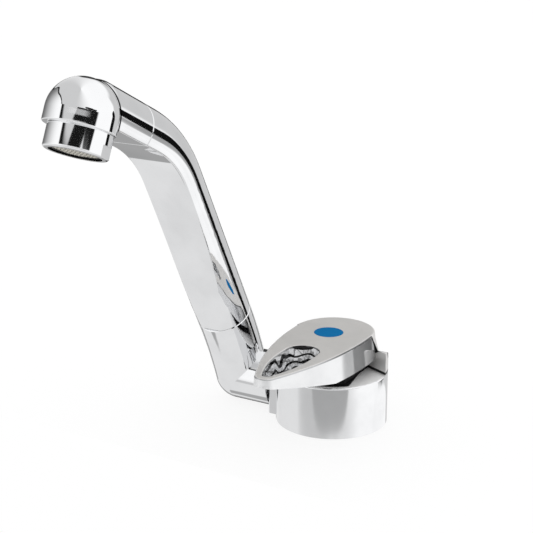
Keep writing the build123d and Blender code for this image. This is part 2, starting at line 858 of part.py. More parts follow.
def make_parts():
    os.makedirs("parts", exist_ok=True)
    save("base_housing", make_base())
    save("base_gasket", ring(gasket_outer, gasket_inner, 0.0, gasket_thickness - running_gap))
    save("pivot_bush", make_pivot_bush())
    save("pivot_retaining_pin", retaining_pin())
    save("fold_stop_pin", stop_pin())
    save("cartridge_body", make_cartridge_body())
    save("cartridge_seal", make_cartridge_seal())
    save("cartridge_screw_front", screw_space(-screw_place))
    save("cartridge_screw_rear", screw_space(screw_place))
    save("cartridge_gland", make_gland())
    save("stem_o_ring", make_stem_ring())
    save("fixed_disc", make_disc(cavity_floor, 0.0))
    save("bore_cover", make_bore_cover())
    save("switch_body", make_switch_body())
    save("switch_holder", make_switch_holder())
    for number, place in enumerate(terminal_places(), start=1):
        save(f"switch_terminal_{number}", make_terminal(place))
    save("switch_plunger", make_plunger())
    save("shank", make_shank())
    save("rubber_washer", ring(deck_washer_radius, washer_bore, rubber_washer_low, -deck_thickness))
    save("steel_washer", ring(deck_washer_radius, washer_bore, steel_washer_low, rubber_washer_low))
    save("fixing_nut", make_nut())
    save("inlet_coupling", make_inlet_coupling())
    save("inlet_collet", make_collet())
    save("inlet_o_ring", make_inlet_ring())
    save("lever_handle", make_lever())
    save("lever_dot", make_dot())
    save("lever_carrier", make_carrier())
    save("lever_grub_screw", make_grub())
    save("spindle", make_spindle())
    save("moving_disc", make_disc(cavity_floor + disc_thickness, disc_port_turn))
    save("cam_disc", make_cam())
    save("elbow", make_elbow())
    save("pivot_journal", make_journal())
    save("pivot_o_ring", make_pivot_ring())
    save("lower_sleeve", make_lower_sleeve())
    save("spout_arm", make_arm())
    save("upper_sleeve", make_upper_sleeve())
    save("spout_head", make_head())
    save("aerator_collar", make_collar())
    save("aerator_mesh", make_mesh())
    save("aerator_insert", make_insert())
    save("aerator_washer", make_aerator_washer())


make_parts()
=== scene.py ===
import bmesh
import bpy
import json
from math import cos, pi, radians, sin
from mathutils import Euler, Matrix, Vector


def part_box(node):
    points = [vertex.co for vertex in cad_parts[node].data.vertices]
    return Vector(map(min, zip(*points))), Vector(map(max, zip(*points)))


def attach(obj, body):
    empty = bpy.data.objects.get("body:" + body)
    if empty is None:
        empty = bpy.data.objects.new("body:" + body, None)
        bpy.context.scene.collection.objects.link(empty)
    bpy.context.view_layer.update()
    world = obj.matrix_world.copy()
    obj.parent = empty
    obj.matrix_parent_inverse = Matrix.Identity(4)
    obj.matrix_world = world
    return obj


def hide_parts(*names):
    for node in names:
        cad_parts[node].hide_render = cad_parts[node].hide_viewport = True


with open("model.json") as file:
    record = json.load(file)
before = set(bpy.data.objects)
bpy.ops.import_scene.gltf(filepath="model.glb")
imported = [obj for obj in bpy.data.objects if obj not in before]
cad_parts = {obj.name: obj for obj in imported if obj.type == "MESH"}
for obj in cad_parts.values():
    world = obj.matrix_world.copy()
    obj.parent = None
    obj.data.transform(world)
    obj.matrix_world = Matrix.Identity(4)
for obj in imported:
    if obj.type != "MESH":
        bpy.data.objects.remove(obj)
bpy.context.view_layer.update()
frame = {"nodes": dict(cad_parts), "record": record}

print("frame loaded:", len(frame["nodes"]), "nodes")

mm = 0.001


# Camera: the tap is seen from its front right, a little from above

camera = {
    "azimuth": 31.11,          # degrees from the front towards the right
    "elevation": 16.42,
    "distance": 0.59581,
    "target": (-0.03426, 0.0, 0.06574),
    "lens": 89.06,
    "sensor": 36.0,
    "clip": (0.01, 50.0),
}


def placeCamera(settings):
    turn, rise = radians(settings["azimuth"]), radians(settings["elevation"])
    back = Vector((sin(turn) * cos(rise), -cos(turn) * cos(rise), sin(rise)))
    data = bpy.data.cameras.new("camera")
    data.lens = settings["lens"]
    data.sensor_width = settings["sensor"]
    data.clip_start, data.clip_end = settings["clip"]
    cam = bpy.data.objects.new("camera", data)
    cam.location = Vector(settings["target"]) + back * settings["distance"]
    cam.rotation_euler = back.to_track_quat("Z", "Y").to_euler()
    bpy.context.collection.objects.link(cam)
    bpy.context.scene.camera = cam


placeCamera(camera)
print("camera placed")


# Small helpers for shader nodes

def newMaterial(name):
    mat = bpy.data.materials.new(name)
    mat.use_nodes = True
    tree = mat.node_tree
    tree.nodes.clear()
    out = tree.nodes.new("ShaderNodeOutputMaterial")
    shader = tree.nodes.new("ShaderNodeBsdfPrincipled")
    tree.links.new(shader.outputs["BSDF"], out.inputs["Surface"])
    coords = tree.nodes.new("ShaderNodeTexCoord")
    return mat, tree, shader, coords


def partsOf(mat):
    tree = mat.node_tree
    return tree, tree.nodes["Principled BSDF"], tree.nodes["Texture Coordinate"]


def plug(tree, socket, value):         # a number or colour is set, a node's output is linked
    if isinstance(value, bpy.types.NodeSocket):
        tree.links.new(value, socket)
    elif isinstance(value, tuple):
        socket.default_value = (*value, 1.0)
    else:
        socket.default_value = value


def mappedCoords(tree, coords, scale, turn=(0.0, 0.0, 0.0), place=(0.0, 0.0, 0.0)):
    mapping = tree.nodes.new("ShaderNodeMapping")
    mapping.inputs["Scale"].default_value = scale
    mapping.inputs["Rotation"].default_value = turn
    mapping.inputs["Location"].default_value = place
    tree.links.new(coords.outputs["Object"], mapping.inputs["Vector"])
    return mapping.outputs["Vector"]


def inMillimetres(tree, coords, turn=(0.0, 0.0, 0.0), place=(0.0, 0.0, 0.0)):
    split = tree.nodes.new("ShaderNodeSeparateXYZ")
    tree.links.new(mappedCoords(tree, coords, (1000.0, 1000.0, 1000.0), turn, place), split.inputs["Vector"])
    return split.outputs


def noise(tree, vector, scale, detail, rough):
    node = tree.nodes.new("ShaderNodeTexNoise")
    node.inputs["Scale"].default_value = scale
    node.inputs["Detail"].default_value = detail
    node.inputs["Roughness"].default_value = rough
    tree.links.new(vector, node.inputs["Vector"])
    return node.outputs["Fac"]


def mapRange(tree, value, low, high, toLow, toHigh, kind="SMOOTHSTEP"):
    node = tree.nodes.new("ShaderNodeMapRange")
    node.interpolation_type = kind
    for socket, number in zip(("From Min", "From Max", "To Min", "To Max"), (low, high, toLow, toHigh)):
        node.inputs[socket].default_value = number
    tree.links.new(value, node.inputs["Value"])
    return node.outputs["Result"]


def stepUp(tree, value, place, width=0.05):
    return mapRange(tree, value, place - width, place + width, 0.0, 1.0)


def stepDown(tree, value, place, width=0.05):
    return mapRange(tree, value, place - width, place + width, 1.0, 0.0)


def mathNode(tree, operation, *values):
    node = tree.nodes.new("ShaderNodeMath")
    node.operation = operation
    for socket, value in zip(node.inputs, values):
        plug(tree, socket, value)
    return node.outputs["Value"]


def product(tree, first, *others):
    for value in others:
        first = mathNode(tree, "MULTIPLY", first, value)
    return first


def fromAxis(tree, x, y):
    return mathNode(tree, "SQRT", mathNode(tree, "MULTIPLY_ADD", x, x, mathNode(tree, "MULTIPLY", y, y)))


def blendLevel(tree, factor, first, second, kind="FLOAT"):
    node = tree.nodes.new("ShaderNodeMix")
    node.data_type = kind
    for name, value in (("Factor", factor), ("A", first), ("B", second)):
        plug(tree, node.inputs[name], value)
    return node.outputs["Result"]


def mixColour(tree, factor, first, second):
    return blendLevel(tree, factor, first, second, "RGBA")


def bump(tree, shader, height, strength, distance):
    node = tree.nodes.new("ShaderNodeBump")
    node.inputs["Strength"].default_value = strength
    node.inputs["Distance"].default_value = distance
    tree.links.new(height, node.inputs["Height"])
    tree.links.new(node.outputs["Normal"], shader.inputs["Normal"])


# Chrome plating, polished and satin

chromeLook = {
    "colour": (0.86, 0.865, 0.875),
    "haze": (0.78, 0.785, 0.795),
    "roughness": (0.035, 0.07),
    "smears": 38.0,            # how close the hazy smears lie
    "rolls": (60.0, 0.02 * mm),          # how closely and how far the plating's surface rolls
    "satinGrain": (900.0, 0.03 * mm),    # how close and how deep the satin parts' grain is
}


def chromePlate(tree, smears):
    haze = mapRange(tree, smears, 0.35, 0.8, 0.0, 1.0)
    colour = mixColour(tree, haze, chromeLook["colour"], chromeLook["haze"])
    return colour, mapRange(tree, smears, 0.3, 0.75, *chromeLook["roughness"])


def satinPlate(tree, smears, settings):
    shade = mapRange(tree, smears, 0.3, 0.7, 0.0, 1.0)
    return mixColour(tree, shade, settings["top"], settings["topShade"])


def joinPlates(tree, shader, coords, satin, colour, polishedRoughness, polishedMetallic, settings):
    scale, depth = chromeLook["satinGrain"]
    grain = noise(tree, mappedCoords(tree, coords, (scale, scale, scale)), 1.0, 2.0, 0.7)
    satinRoughness = mapRange(tree, grain, 0.2, 0.8, *settings["topRoughness"])
    tree.links.new(colour, shader.inputs["Base Color"])
    tree.links.new(blendLevel(tree, satin, polishedRoughness, satinRoughness), shader.inputs["Roughness"])
    tree.links.new(blendLevel(tree, satin, polishedMetallic, settings["topMetallic"]), shader.inputs["Metallic"])
    bump(tree, shader, product(tree, grain, satin), 0.12, depth)


def paintOver(tree, shader, mask, colour):
    plated = shader.inputs["Base Color"].links[0].from_socket
    tree.links.new(mixColour(tree, mask, plated, colour), shader.inputs["Base Color"])


def polishedChrome(name):
    mat, tree, shader, coords = newMaterial(name)
    shader.inputs["Metallic"].default_value = 1.0
    colour, roughness = chromePlate(tree, noise(tree, coords.outputs["Object"], chromeLook["smears"], 3.0, 0.6))
    tree.links.new(colour, shader.inputs["Base Color"])
    tree.links.new(roughness, shader.inputs["Roughness"])
    closeness, depth = chromeLook["rolls"]
    bump(tree, shader, noise(tree, coords.outputs["Object"], closeness, 1.0, 0.4), 0.25, depth)
    return mat


# The lever: satin top and hub, polished sides, and a cast opening with painted dark reflection bands, with
# painted shade on the sides, in the slot and at the hub's foot. Lengths in millimetres.

leverLook = {
    "top": (0.67, 0.657, 0.64),
    "topShade": (0.62, 0.61, 0.595),
    # painted light: the hub gets a lighter satin than the top, so it looks lit though it sits under the lever
    "hub": (0.84, 0.83, 0.82),
    # colour of the painted reflections and painted shade on the lever
    "paintedDark": (0.01, 0.01, 0.011),
    "topRoughness": (0.36, 0.48),
    "topMetallic": 0.45,
    "sideMetallic": 0.66,                # the sides are less bright than the rest of the plating
    "smears": 55.0,
    "restTurn": 2.5,                     # degrees that the lever points to the side at rest
    "topHeight": 41.55,                  # the flat top starts here
    "hubFace": (14.0, 8.1, -0.5),        # half width, place and slope of the hub's front faces
    "hubSlant": (30.0, 8.1, -0.607),     # height, place and slope of the line behind the plate
    "hubHeight": 33.75,                  # the hub's low block ends here
    "slotWidth": 1.12,
    "slotHeights": (30.3, 40.75),
    "footLine": 24.9,                    # shadow line where the hub stands over the base
    "openingEdge": (0.8, -64.6, 3.4, 0.223),   # middle, start, half width and slope of the opening's outline
    "openingEnds": (-65.5, -22.0),
    "bands": (88.0, 9.0, 1.2),           # how close, how twisted and how fine the painted reflection bands in the opening are
    "bandEdge": (0.2, 0.34),
    "edgeHeight": 40.95,                 # a painted dark reflection on the rounded edge runs from here up to the top
    "edgeFade": (-46.0, -22.0, 0.35, 0.85),    # the painted edge reflection, from tip to hub, and how dark
    "sideShade": (-14.0, 7.0, 0.0, 0.62),      # painted shade: the sides get darker towards the hub
}


def leverFinish(settings):
    mat, tree, shader, coords = newMaterial("leverChrome")
    x, y, z = inMillimetres(tree, coords, (0.0, 0.0, -radians(settings["restTurn"])))
    onTop = stepUp(tree, z, settings["topHeight"], 0.08)
    belowTop = stepDown(tree, z, settings["topHeight"], 0.08)

    half, face, faceSlope = settings["hubFace"]
    outward = mathNode(tree, "SUBTRACT", mathNode(tree, "ABSOLUTE", x), half)
    faceLine = mathNode(tree, "MULTIPLY_ADD", outward, faceSlope, face)
    onBlock = stepUp(tree, mathNode(tree, "SUBTRACT", y, faceLine), -0.08)
    low, slant, slantSlope = settings["hubSlant"]
    slantLine = mathNode(tree, "MULTIPLY_ADD", mathNode(tree, "SUBTRACT", z, low), slantSlope, slant)
    pastSlant = mathNode(tree, "SUBTRACT", y, slantLine)
    onCone = stepUp(tree, pastSlant, 0.06)
    hub = mathNode(tree, "ADD", product(tree, onCone, stepUp(tree, z, settings["hubHeight"])),
                   product(tree, onBlock, stepDown(tree, z, settings["hubHeight"])))
    satin = mathNode(tree, "MAXIMUM", onTop, hub)
    foot = product(tree, hub, stepDown(tree, z, settings["footLine"]))
    # painted shade: the slot between the plate and the hub's cone is coloured dark
    slotFoot, slotTop = settings["slotHeights"]
    beforeCone = mathNode(tree, "SUBTRACT", stepUp(tree, pastSlant, -settings["slotWidth"]), onCone)
    slotShade = product(tree, beforeCone, stepDown(tree, z, slotTop), stepUp(tree, z, slotFoot))

    middle, start, startHalf, widening = settings["openingEdge"]
    reach = mathNode(tree, "MULTIPLY_ADD", mathNode(tree, "SUBTRACT", y, start), widening, startHalf)
    fromMiddle = mathNode(tree, "ABSOLUTE", mathNode(tree, "SUBTRACT", x, middle))
    front, rear = settings["openingEnds"]
    inOpening = product(tree, stepUp(tree, mathNode(tree, "SUBTRACT", reach, fromMiddle), 0.0), belowTop,
                        stepUp(tree, y, front), stepDown(tree, y, rear))
    # painted reflections: dark bands on the walls of the opening
    wave = tree.nodes.new("ShaderNodeTexWave")
    wave.bands_direction = "Z"
    wave.inputs["Detail"].default_value = 1.0
    for socket, number in zip(("Scale", "Distortion", "Detail Scale"), settings["bands"]):
        wave.inputs[socket].default_value = number
    tree.links.new(coords.outputs["Object"], wave.inputs["Vector"])
    paintedBands = product(tree, inOpening, mapRange(tree, wave.outputs["Fac"], *settings["bandEdge"], 1.0, 0.0))

    paintedEdgeReflection = product(tree, stepUp(tree, z, settings["edgeHeight"]), belowTop,
                     mapRange(tree, y, *settings["edgeFade"]))
    # painted shade on the sides, joined with the painted reflections in the opening and on the edge
    shade = mapRange(tree, y, *settings["sideShade"])
    paintedDarkening = mathNode(tree, "MAXIMUM", mathNode(tree, "MAXIMUM", paintedBands, paintedEdgeReflection), shade)

    smears = noise(tree, coords.outputs["Object"], settings["smears"], 3.0, 0.6)
    plate, roughness = chromePlate(tree, smears)
    plate = mixColour(tree, paintedDarkening, plate, settings["paintedDark"])
    brushed = mixColour(tree, belowTop, satinPlate(tree, smears, settings), settings["hub"])
    brushed = mixColour(tree, foot, brushed, settings["paintedDark"])
    colour = mixColour(tree, slotShade, mixColour(tree, satin, plate, brushed), settings["paintedDark"])
    joinPlates(tree, shader, coords, satin, colour, roughness, settings["sideMetallic"], settings)
    return mat


# The spout's head and its collar. Both lean with the outlet, so their patterns are drawn along its axis,
# in millimetres.

outletTilt = 24.1              # degrees


def mouthCoords(tree, coords, place):
    lean = Euler((radians(outletTilt), 0.0, 0.0))
    middle = Vector(place)
    middle.rotate(lean)
    return inMillimetres(tree, coords, lean, -middle)


headLook = {
    "crown": (-47.2, -110.617, 150.399), # the middle of the hood's round top
    "hood": (14.1, 0.1, 0.6),            # radius, and where the painted shade line round the hood starts and ends
    # colour of the painted shade line in the crevice where the tube meets the hood
    "line": (0.02, 0.02, 0.022),
    "paleBand": (-2.7, -0.6),            # heights of a duller band on the hood's wall
    "paleFoot": -4.9,                    # the wall is duller below this too
    "paleSector": (4.5, -9.5),           # the dull parts lie right of the first and in front of the second
    "paleMetallic": 0.45,
}


def headFinish(settings):
    mat = polishedChrome("headChrome")
    tree, shader, coords = partsOf(mat)
    x, y, z = mouthCoords(tree, coords, settings["crown"])
    gather = tree.nodes.new("ShaderNodeCombineXYZ")
    for socket, value in zip(gather.inputs, (x, y, mathNode(tree, "MAXIMUM", z, 0.0))):
        tree.links.new(value, socket)
    away = tree.nodes.new("ShaderNodeVectorMath")
    away.operation = "LENGTH"
    tree.links.new(gather.outputs["Vector"], away.inputs[0])
    radius, near, far = settings["hood"]
    outside = mathNode(tree, "SUBTRACT", away.outputs["Value"], radius)
    # painted shade: a dark line on the tube just outside the hood
    line = product(tree, stepUp(tree, outside, near, 0.04), stepDown(tree, outside, far))
    low, high = settings["paleBand"]
    band = product(tree, stepUp(tree, z, low, 0.3), stepDown(tree, z, high, 0.3))
    atFoot = stepDown(tree, z, settings["paleFoot"], 0.2)
    sideStart, frontStart = settings["paleSector"]
    pale = product(tree, mathNode(tree, "MAXIMUM", band, atFoot), stepDown(tree, outside, near, 0.04),
                   stepUp(tree, x, sideStart, 1.2), stepDown(tree, y, frontStart, 1.2))
    tree.links.new(blendLevel(tree, pale, 1.0, settings["paleMetallic"]), shader.inputs["Metallic"])
    paintOver(tree, shader, line, settings["line"])
    return mat


collarLook = {
    "mouth": (-47.2, -115.555, 136.175), # the middle of the outlet's mouth
    "wallRadius": 10.5,                  # the wall inside the lip is painted dark as shade
    "paintedDark": (0.01, 0.01, 0.011),
}


def collarFinish(settings):
    mat = polishedChrome("collarChrome")
    tree, shader, coords = partsOf(mat)
    x, y, z = mouthCoords(tree, coords, settings["mouth"])
    inside = stepDown(tree, fromAxis(tree, x, y), settings["wallRadius"])
    # painted shade on the wall inside the lip
    paintOver(tree, shader, product(tree, inside, stepUp(tree, z, 0.06, 0.03)), settings["paintedDark"])
    return mat


# The base: polished wall and satin top, with a painted deep shadow on the top under the lever. Lengths in
# millimetres.

baseLook = {
    "top": (1.0, 0.998, 0.995),
    "topShade": (0.98, 0.978, 0.975),
    "topRoughness": (0.38, 0.5),
    "topMetallic": 0.0,
    "smears": 45.0,
    "topHeight": 23.4,         # the flat top starts here, everything below is polished
    "underLever": (13.6, 0.2, 22.9, 9.0),  # half width, widening, radius and rear end of the painted shadow
    "shadow": (0.012, 0.012, 0.013),
}


def baseFinish(settings):
    mat, tree, shader, coords = newMaterial("baseChrome")
    x, y, z = inMillimetres(tree, coords)
    onTop = stepUp(tree, z, settings["topHeight"], 0.08)
    half, widening, radius, rear = settings["underLever"]
    across = mathNode(tree, "MULTIPLY_ADD", y, widening, mathNode(tree, "ABSOLUTE", x))
    outside = mathNode(tree, "MAXIMUM", stepUp(tree, across, half, 0.3),
                       stepUp(tree, fromAxis(tree, x, y), radius, 0.2))
    outside = mathNode(tree, "MAXIMUM", outside, stepUp(tree, y, rear, 0.3))
    smears = noise(tree, coords.outputs["Object"], settings["smears"], 3.0, 0.6)
    plate, roughness = chromePlate(tree, smears)
    # painted shadow: the top is coloured dark where it lies under the lever
    satin = mixColour(tree, outside, settings["shadow"], satinPlate(tree, smears, settings))
    joinPlates(tree, shader, coords, onTop, mixColour(tree, onTop, plate, satin), roughness, 1.0, settings)
    return mat


# Plastics, rubber and plain metals

def plasticFinish(name, colour, shade, roughness, grainScale, grainDepth, gloss=0.5):
    mat, tree, shader, coords = newMaterial(name)
    shader.inputs["Specular IOR Level"].default_value = gloss
    plain = coords.outputs["Object"]
    cloud = noise(tree, plain, 90.0, 3.0, 0.6)
    mottled = mixColour(tree, mapRange(tree, cloud, 0.3, 0.7, 0.0, 1.0), colour, shade)
    tree.links.new(mottled, shader.inputs["Base Color"])
    tree.links.new(mapRange(tree, cloud, 0.3, 0.7, *roughness), shader.inputs["Roughness"])
    bump(tree, shader, noise(tree, plain, grainScale, 2.0, 0.6), 0.3, grainDepth)
    return mat


def metalFinish(name, colour, shade, roughness, lines):
    mat, tree, shader, coords = newMaterial(name)
    shader.inputs["Metallic"].default_value = 1.0
    turned = noise(tree, mappedCoords(tree, coords, lines), 1.0, 3.0, 0.7)
    cloud = noise(tree, coords.outputs["Object"], 70.0, 4.0, 0.6)
    mottled = mixColour(tree, mapRange(tree, cloud, 0.3, 0.75, 0.0, 1.0), colour, shade)
    tree.links.new(mottled, shader.inputs["Base Color"])
    tree.links.new(mapRange(tree, turned, 0.25, 0.75, *roughness), shader.inputs["Roughness"])
    bump(tree, shader, turned, 0.2, 0.02 * mm)
    return mat


# name, colour, shade, roughness, grain scale, grain depth and gloss
plasticLooks = {
    "blue_plastic": ("bluePlastic", (0.0, 0.16, 0.4), (0.0, 0.145, 0.37), (0.5, 0.62), 500.0, 0.01 * mm, 0.02),
    "black_plastic": ("blackPlastic", (0.005, 0.005, 0.006), (0.01, 0.01, 0.011), (0.4, 0.6), 1500.0, 0.03 * mm,
                      0.08),
    "white_plastic": ("whitePlastic", (0.8, 0.77, 0.68), (0.72, 0.69, 0.6), (0.35, 0.5), 900.0, 0.02 * mm),
    "rubber": ("blackRubber", (0.02, 0.02, 0.02), (0.035, 0.034, 0.033), (0.6, 0.8), 1200.0, 0.04 * mm),
    "ceramic": ("lappedCeramic", (0.86, 0.84, 0.8), (0.8, 0.78, 0.74), (0.12, 0.2), 400.0, 0.01 * mm),
}
insertLook = ("insertPlastic", (0.035, 0.033, 0.03), (0.05, 0.047, 0.042), (0.5, 0.7), 900.0, 0.02 * mm, 0.1)

# colour, shade, roughness and how fine the turned or drawn lines are along x, y and z
brassLook = ((0.76, 0.56, 0.27), (0.62, 0.42, 0.18), (0.18, 0.34), (80.0, 80.0, 5000.0))
steelLook = ((0.62, 0.61, 0.6), (0.5, 0.5, 0.5), (0.22, 0.4), (2500.0, 60.0, 60.0))

threadLook = {
    "pitch": 1.5,              # mm
    "start": -0.4,             # mm: the thread runs down from here
    "depth": 0.9 * mm,
}


def threadFinish(settings):
    mat = metalFinish("threadedBrass", *brassLook)
    tree, shader, coords = partsOf(mat)
    x, y, z = inMillimetres(tree, coords)
    around = mathNode(tree, "DIVIDE", mathNode(tree, "ARCTAN2", y, x), 2 * pi)
    climb = mathNode(tree, "ADD", mathNode(tree, "DIVIDE", z, settings["pitch"]), around)
    ridge = mathNode(tree, "PINGPONG", climb, 0.5)
    below = stepDown(tree, z, settings["start"], 0.3)
    bump(tree, shader, product(tree, ridge, below), 1.0, settings["depth"])
    return mat


finishes = {slot: plasticFinish(*look) for slot, look in plasticLooks.items()}
finishes["polished_chrome"] = polishedChrome("polishedChrome")
finishes["brass"] = metalFinish("machinedBrass", *brassLook)
finishes["steel"] = metalFinish("drawnSteel", *steelLook)

ownFinishes = {
    "lever_handle": leverFinish(leverLook),
    "base_housing": baseFinish(baseLook),
    "spout_head": headFinish(headLook),
    "aerator_collar": collarFinish(collarLook),
    "shank": threadFinish(threadLook),
    "aerator_insert": plasticFinish(*insertLook),
}
slotOf = {part["node"]: part["material_slot"] for part in frame["record"]["subparts"]}


def dress(obj, mat):
    obj.data.materials.clear()
    obj.data.materials.append(mat)


for node in frame["nodes"]:
    dress(bpy.data.objects[node], ownFinishes.get(node, finishes[slotOf[node]]))
print("finishes on", len(slotOf), "nodes")


# The aerator's cream grid and the dark ring round it replace the plain disc

gridLook = {
    "radius": 9.4 * mm,
    "pitch": 1.9 * mm,
    "bar": 0.95 * mm,
    "thickness": 0.44 * mm,
    "ringInner": 8.7 * mm,
    "ringOuter": 10.75 * mm,
    "ringSteps": 72,
}


def addPiece(name, work, body):
    bmesh.ops.recalc_face_normals(work, faces=work.faces)
    mesh = bpy.data.meshes.new(name)
    work.to_mesh(mesh)
    work.free()
    piece = bpy.data.objects.new(name, mesh)
    bpy.context.collection.objects.link(piece)
    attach(piece, body)
    return piece


def mouthPlace():
    low, high = (Vector(corner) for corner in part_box("aerator_mesh"))
    return Matrix.Translation((low + high) / 2) @ Matrix.Rotation(-radians(outletTilt), 4, "X")


def makeGrid(settings, place):
    work = bmesh.new()
    cells = 2 * round(settings["radius"] / settings["pitch"]) + 2
    half = cells * settings["pitch"] / 2
    bmesh.ops.create_grid(work, x_segments=cells, y_segments=cells, size=half)
    limit = settings["radius"] - settings["bar"]
    outside = [face for face in work.faces if face.calc_center_median().length > limit]
    bmesh.ops.delete(work, geom=outside, context="FACES")
    holes = list(work.faces)
    bmesh.ops.inset_individual(work, faces=holes, thickness=settings["bar"] / 2, use_even_offset=True)
    bmesh.ops.delete(work, geom=holes, context="FACES")
    bmesh.ops.solidify(work, geom=list(work.faces), thickness=settings["thickness"])
    bmesh.ops.translate(work, verts=work.verts, vec=(0.0, 0.0, -settings["thickness"] / 2))
    bmesh.ops.recalc_face_normals(work, faces=work.faces)
    for face in work.faces:
        face.material_index = 0 if abs(face.normal.z) > 0.5 else 1     # painted shade: the walls of the holes take the dark insert colour
    bmesh.ops.transform(work, matrix=place, verts=work.verts)
    return addPiece("aeratorGrid", work, "spout")


def makeGridRing(settings, place):
    work = bmesh.new()
    flat = settings["thickness"]
    ends = [work.verts.new((settings[edge], 0.0, -flat / 2)) for edge in ("ringInner", "ringOuter")]
    bmesh.ops.spin(work, geom=[*ends, work.edges.new(ends)], cent=(0, 0, 0), axis=(0, 0, 1), angle=2 * pi,
                   steps=settings["ringSteps"], use_merge=True, dvec=(0, 0, 0))
    bmesh.ops.solidify(work, geom=list(work.faces), thickness=flat)
    bmesh.ops.transform(work, matrix=place, verts=work.verts)
    return addPiece("aeratorRing", work, "spout")


mouth = mouthPlace()
aeratorGrid = makeGrid(gridLook, mouth)
aeratorRing = makeGridRing(gridLook, mouth)
for finish in (finishes["white_plastic"], ownFinishes["aerator_insert"]):
    aeratorGrid.data.materials.append(finish)
dress(aeratorRing, finishes["rubber"])
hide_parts("aerator_mesh")
print("aerator grid made")


# Stage: a pale worktop with a sunk bowl in front of the tap, where the folded spout dips in

stage = {
    "height": -0.2 * mm,
    "size": 6.0,
    "bowl": (-0.32, 0.26, -0.42, -0.075),  # left, right, front and rear edge
    "bowlDepth": 0.16,
    "colour": (0.86, 0.86, 0.86),
    "worktopWhite": (0.75, 1.07),          # how much of what the camera sees is plain white, and how bright
    "bowlWhite": (1.0, 1.0),
}


def paleStage(name, colour, whiteShare, strength):
    mat, tree, shader, _ = newMaterial(name)
    shader.inputs["Base Color"].default_value = (*colour, 1.0)
    shader.inputs["Roughness"].default_value = 0.9
    shader.inputs["Specular IOR Level"].default_value = 0.0
    lit = tree.nodes.new("ShaderNodeEmission")
    lit.inputs["Strength"].default_value = strength
    path = tree.nodes.new("ShaderNodeLightPath")
    mix = tree.nodes.new("ShaderNodeMixShader")
    tree.links.new(product(tree, path.outputs["Is Camera Ray"], whiteShare), mix.inputs["Fac"])
    tree.links.new(shader.outputs["BSDF"], mix.inputs[1])
    tree.links.new(lit.outputs["Emission"], mix.inputs[2])
    tree.links.new(mix.outputs["Shader"], tree.nodes["Material Output"].inputs["Surface"])
    return mat


def makeFloor(settings):
    work = bmesh.new()
    half = settings["size"] / 2
    left, right, front, rear = settings["bowl"]
    bmesh.ops.create_grid(work, x_segments=3, y_segments=3, size=half)
    for vert in work.verts:            # the middle square becomes the bowl
        if abs(vert.co.x) < half / 2:
            vert.co.x = left if vert.co.x < 0.0 else right
        if abs(vert.co.y) < half / 2:
            vert.co.y = front if vert.co.y < 0.0 else rear
    bowl = min(work.faces, key=lambda face: face.calc_area())
    deck = set(work.faces) - {bowl}
    sunk = bmesh.ops.extrude_face_region(work, geom=[bowl])["geom"]
    bmesh.ops.delete(work, geom=[bowl], context="FACES_ONLY")
    bottom = [item for item in sunk if isinstance(item, bmesh.types.BMVert)]
    bmesh.ops.translate(work, verts=bottom, vec=(0.0, 0.0, -settings["bowlDepth"]))
    for face in work.faces:
        face.material_index = 0 if face in deck else 1
    bmesh.ops.translate(work, verts=work.verts, vec=(0.0, 0.0, settings["height"]))
    mesh = bpy.data.meshes.new("worktop")
    work.to_mesh(mesh)
    work.free()
    floor = bpy.data.objects.new("worktop", mesh)
    bpy.context.collection.objects.link(floor)
    mesh.materials.append(paleStage("paleWorktop", settings["colour"], *settings["worktopWhite"]))
    mesh.materials.append(paleStage("whiteBowl", settings["colour"], *settings["bowlWhite"]))
    floor.visible_glossy = False     # the chrome mirrors the pale surroundings below instead


# What the chrome mirrors: a light tent with pale walls and a roof, and darker cards. Azimuths count from the
# front towards the right and heights from the horizon, all in degrees, and a level of 1 is white.

surroundings = {
    "camera": (1.0, 1.0, 1.0),           # what the camera sees behind the tap
    "soft": 0.95,                        # plain level that lights the plastics and the worktop
    "below": 0.84,
    "sky": (0.68, 1.12),                 # the roof at the left and at the right
    "skyFront": (15, 75),                # azimuths between which it goes from one to the other, in front
    "skyBack": (-178, -112),             # and behind
    "wall": (0.16, 1.12),                # the left wall gets lighter towards the front
    "wallTurn": (-120, -38),
    "wallEnd": (-30, 10),
    "wallFoot": (-22, -4),
    "rightWall": 1.12,
    "rightTurn": (55, 92),
    "rightFoot": (-52, -30),
    "backWall": 0.66,
    "backTurn": (150, 158),
    "backTop": (18, 30),
    # the dark seam where the roof meets the walls: azimuth and height
    "seam": ((-135, 2), (-120, 10), (-103, 32), (-80, 38), (-60, 41), (-45, 38), (-30, 31), (0, 30),
             (30, 29), (50, 26), (70, 19), (90, 11), (110, 9)),
    "seamWidth": (0.9, 2.25),            # degrees from its middle where it starts to fade, and where it ends
    "seamEnd": (88, 96),
    "seamLevel": 0.01,
    # darker and lighter cards: azimuth, height, half width, half height, tilt, softness, level
    "cards": (
        ("frontShade", -8, -20, 34, 5, 0, 0.9, 0.62),
        ("frontTable", 25, -18.7, 39.5, 4.95, 0, 0.06, 0.44),
        ("leftTable", -132, -38, 14, 14, 0, 0.15, 0.39),
        ("leftFoot", -90, -67, 36, 9, 0, 0.5, 0.42),
        ("doorEdge", 144.5, -17, 6.5, 6, 0, 0.9, 0.4),
        ("darkDoor", 149.5, -10.5, 6.5, 12, 20, 0.15, 0.006),
        ("backGlow", 154, -25.2, 32, 3.8, 0, 0.1, 1.08),
        ("leftColumn", -148, -11, 8.5, 39, 0, 0.3, 0.05),
    ),
    # the same along the seam, with the height above it
    "seamCards": (
        ("windowGrey", 74, -0.3, 15, 2.2, 0, 0.3, 0.08),
        ("collarWindow", 33, -0.2, 28, 2.4, 0, 0.08, 0.006),
        ("hoodWindow", 70, 4.7, 18, 1.7, 0, 0.15, 0.01),
    ),
    "cardCorner": 3.5,                   # 2 gives ovals, more gives squarer corners
}


